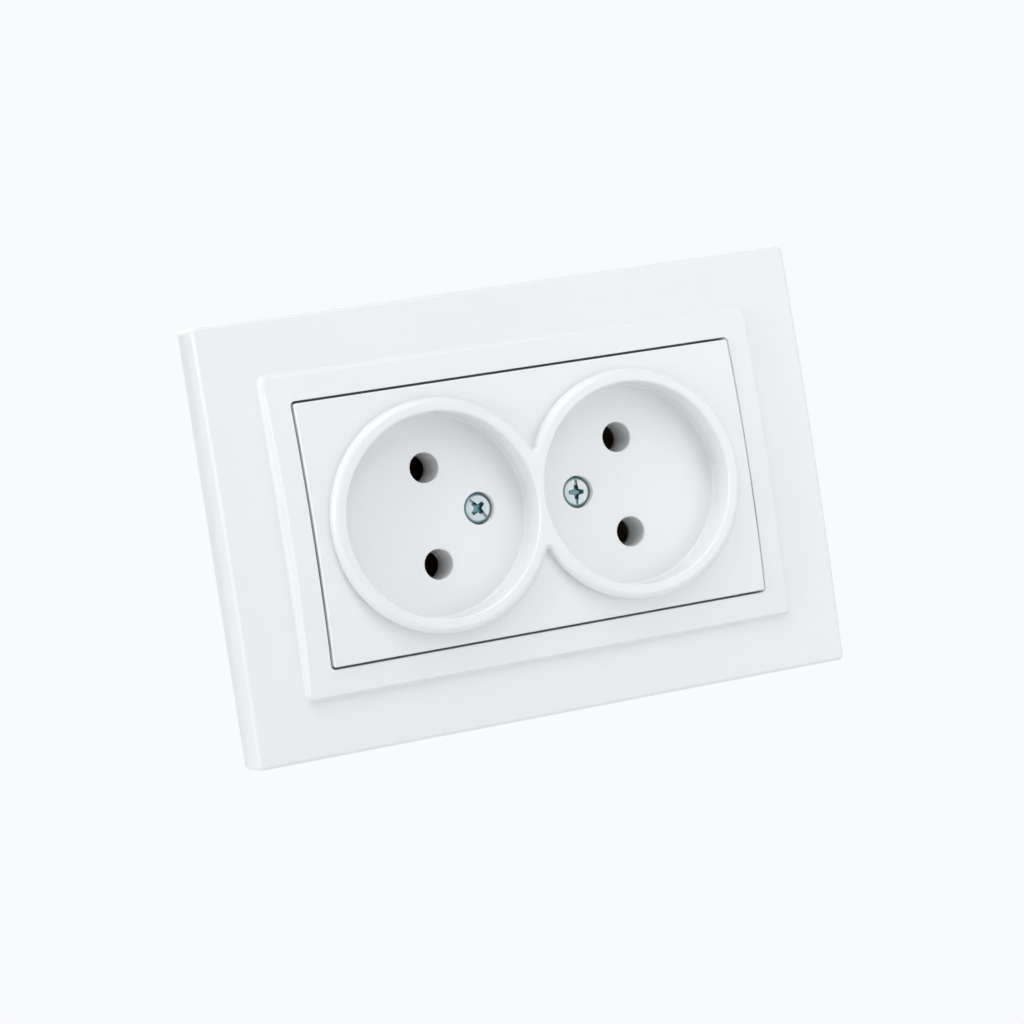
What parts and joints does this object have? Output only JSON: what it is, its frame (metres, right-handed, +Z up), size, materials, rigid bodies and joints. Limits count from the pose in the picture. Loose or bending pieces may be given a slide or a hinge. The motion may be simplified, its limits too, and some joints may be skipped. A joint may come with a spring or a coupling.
{
  "type": "double wall socket",
  "caption": "Flush-mounted double wall socket without earth: domed frame and cover with twin round wells, on a mechanism with contact clips, clamp terminals and spreader claws.",
  "frame": {"origin": "centre of the socket in the plane of the wall", "axes": "+X to the viewer's right, +Z up, -Y out of the wall towards the room, +Y into the wall box"},
  "size_m": [0.1274, 0.0393, 0.085],
  "materials": {
    "frame_plastic": "satin white moulded plastic",
    "cover_plastic": "satin white moulded plastic",
    "retainer_plastic": "light grey moulded plastic",
    "base_plastic": "black moulded plastic",
    "plate_steel": "zinc-plated steel",
    "claw_steel": "zinc-plated steel",
    "screw_steel": "zinc-plated steel",
    "rivet_steel": "bare steel",
    "clamp_steel": "zinc-plated steel",
    "busbar_brass": "rolled brass",
    "clip_brass": "sprung brass",
    "contact_rivet_brass": "brass"
  },
  "bodies": {
    "socket": {"outer_frame": "frame_plastic", "socket_cover": "cover_plastic", "contact_retainer": "retainer_plastic", "mechanism_base": "base_plastic", "mounting_plate": "plate_steel", "base_rivets": "rivet_steel", "busbar_upper": "busbar_brass", "busbar_lower": "busbar_brass", "contact_rivets": "contact_rivet_brass", "cover_screw_left": "screw_steel", "cover_screw_right": "screw_steel", "pin_clip_lower_left": "clip_brass", "pin_clip_lower_right": "clip_brass", "pin_clip_upper_left": "clip_brass", "pin_clip_upper_right": "clip_brass"},
    "claw_screw_left": {"claw_screw_left": "screw_steel"},
    "claw_left": {"claw_left": "claw_steel"},
    "claw_screw_right": {"claw_screw_right": "screw_steel"},
    "claw_right": {"claw_right": "claw_steel"},
    "terminal_clamp_lower_left": {"terminal_clamp_lower_left": "clamp_steel"},
    "terminal_screw_lower_left": {"terminal_screw_lower_left": "screw_steel"},
    "terminal_clamp_lower_right": {"terminal_clamp_lower_right": "clamp_steel"},
    "terminal_screw_lower_right": {"terminal_screw_lower_right": "screw_steel"},
    "terminal_clamp_upper_left": {"terminal_clamp_upper_left": "clamp_steel"},
    "terminal_screw_upper_left": {"terminal_screw_upper_left": "screw_steel"},
    "terminal_clamp_upper_right": {"terminal_clamp_upper_right": "clamp_steel"},
    "terminal_screw_upper_right": {"terminal_screw_upper_right": "screw_steel"}
  },
  "joints": [
    {"name": "claw_screw_left_turn", "type": "hinge", "parent": "socket", "child": "claw_screw_left", "pos_m": [-0.0254, 0, 0], "axis": [0, 1, 0], "range_deg": [0, 882]},
    {"name": "claw_left_swing", "type": "hinge", "parent": "socket", "child": "claw_left", "pos_m": [-0.0225, 0.0046, 0], "axis": [0, 0, 1], "range_deg": [0, 25]},
    {"name": "claw_screw_right_turn", "type": "hinge", "parent": "socket", "child": "claw_screw_right", "pos_m": [0.0254, 0, 0], "axis": [0, 1, 0], "range_deg": [0, 882]},
    {"name": "claw_right_swing", "type": "hinge", "parent": "socket", "child": "claw_right", "pos_m": [0.0225, 0.0046, 0], "axis": [0, 0, -1], "range_deg": [0, 25]},
    {"name": "terminal_clamp_lower_left_lift", "type": "slide", "parent": "socket", "child": "terminal_clamp_lower_left", "axis": [0, 0, -1], "range_m": [0, 0.0024]},
    {"name": "terminal_screw_lower_left_turn", "type": "hinge", "parent": "terminal_clamp_lower_left", "child": "terminal_screw_lower_left", "pos_m": [-0.0075, 0.018, -0.0165], "axis": [0, 0, -1], "range_deg": [0, 1440]},
    {"name": "terminal_clamp_lower_right_lift", "type": "slide", "parent": "socket", "child": "terminal_clamp_lower_right", "axis": [0, 0, -1], "range_m": [0, 0.0024]},
    {"name": "terminal_screw_lower_right_turn", "type": "hinge", "parent": "terminal_clamp_lower_right", "child": "terminal_screw_lower_right", "pos_m": [0.0075, 0.018, -0.0165], "axis": [0, 0, -1], "range_deg": [0, 1440]},
    {"name": "terminal_clamp_upper_left_lift", "type": "slide", "parent": "socket", "child": "terminal_clamp_upper_left", "axis": [0, 0, 1], "range_m": [0, 0.0024]},
    {"name": "terminal_screw_upper_left_turn", "type": "hinge", "parent": "terminal_clamp_upper_left", "child": "terminal_screw_upper_left", "pos_m": [-0.0075, 0.018, 0.0165], "axis": [0, 0, 1], "range_deg": [0, 1440]},
    {"name": "terminal_clamp_upper_right_lift", "type": "slide", "parent": "socket", "child": "terminal_clamp_upper_right", "axis": [0, 0, 1], "range_m": [0, 0.0024]},
    {"name": "terminal_screw_upper_right_turn", "type": "hinge", "parent": "terminal_clamp_upper_right", "child": "terminal_screw_upper_right", "pos_m": [0.0075, 0.018, 0.0165], "axis": [0, 0, 1], "range_deg": [0, 1440]}
  ],
  "couplings": [
    {"joint": "claw_left_swing", "follows": "claw_screw_left_turn", "ratio": 0.028331},
    {"joint": "claw_right_swing", "follows": "claw_screw_right_turn", "ratio": 0.028331},
    {"joint": "terminal_screw_lower_left_turn", "follows": "terminal_clamp_lower_left_lift", "rad_per_m": 10472},
    {"joint": "terminal_screw_lower_right_turn", "follows": "terminal_clamp_lower_right_lift", "rad_per_m": 10472},
    {"joint": "terminal_screw_upper_left_turn", "follows": "terminal_clamp_upper_left_lift", "rad_per_m": 10472},
    {"joint": "terminal_screw_upper_right_turn", "follows": "terminal_clamp_upper_right_lift", "rad_per_m": 10472}
  ]
}
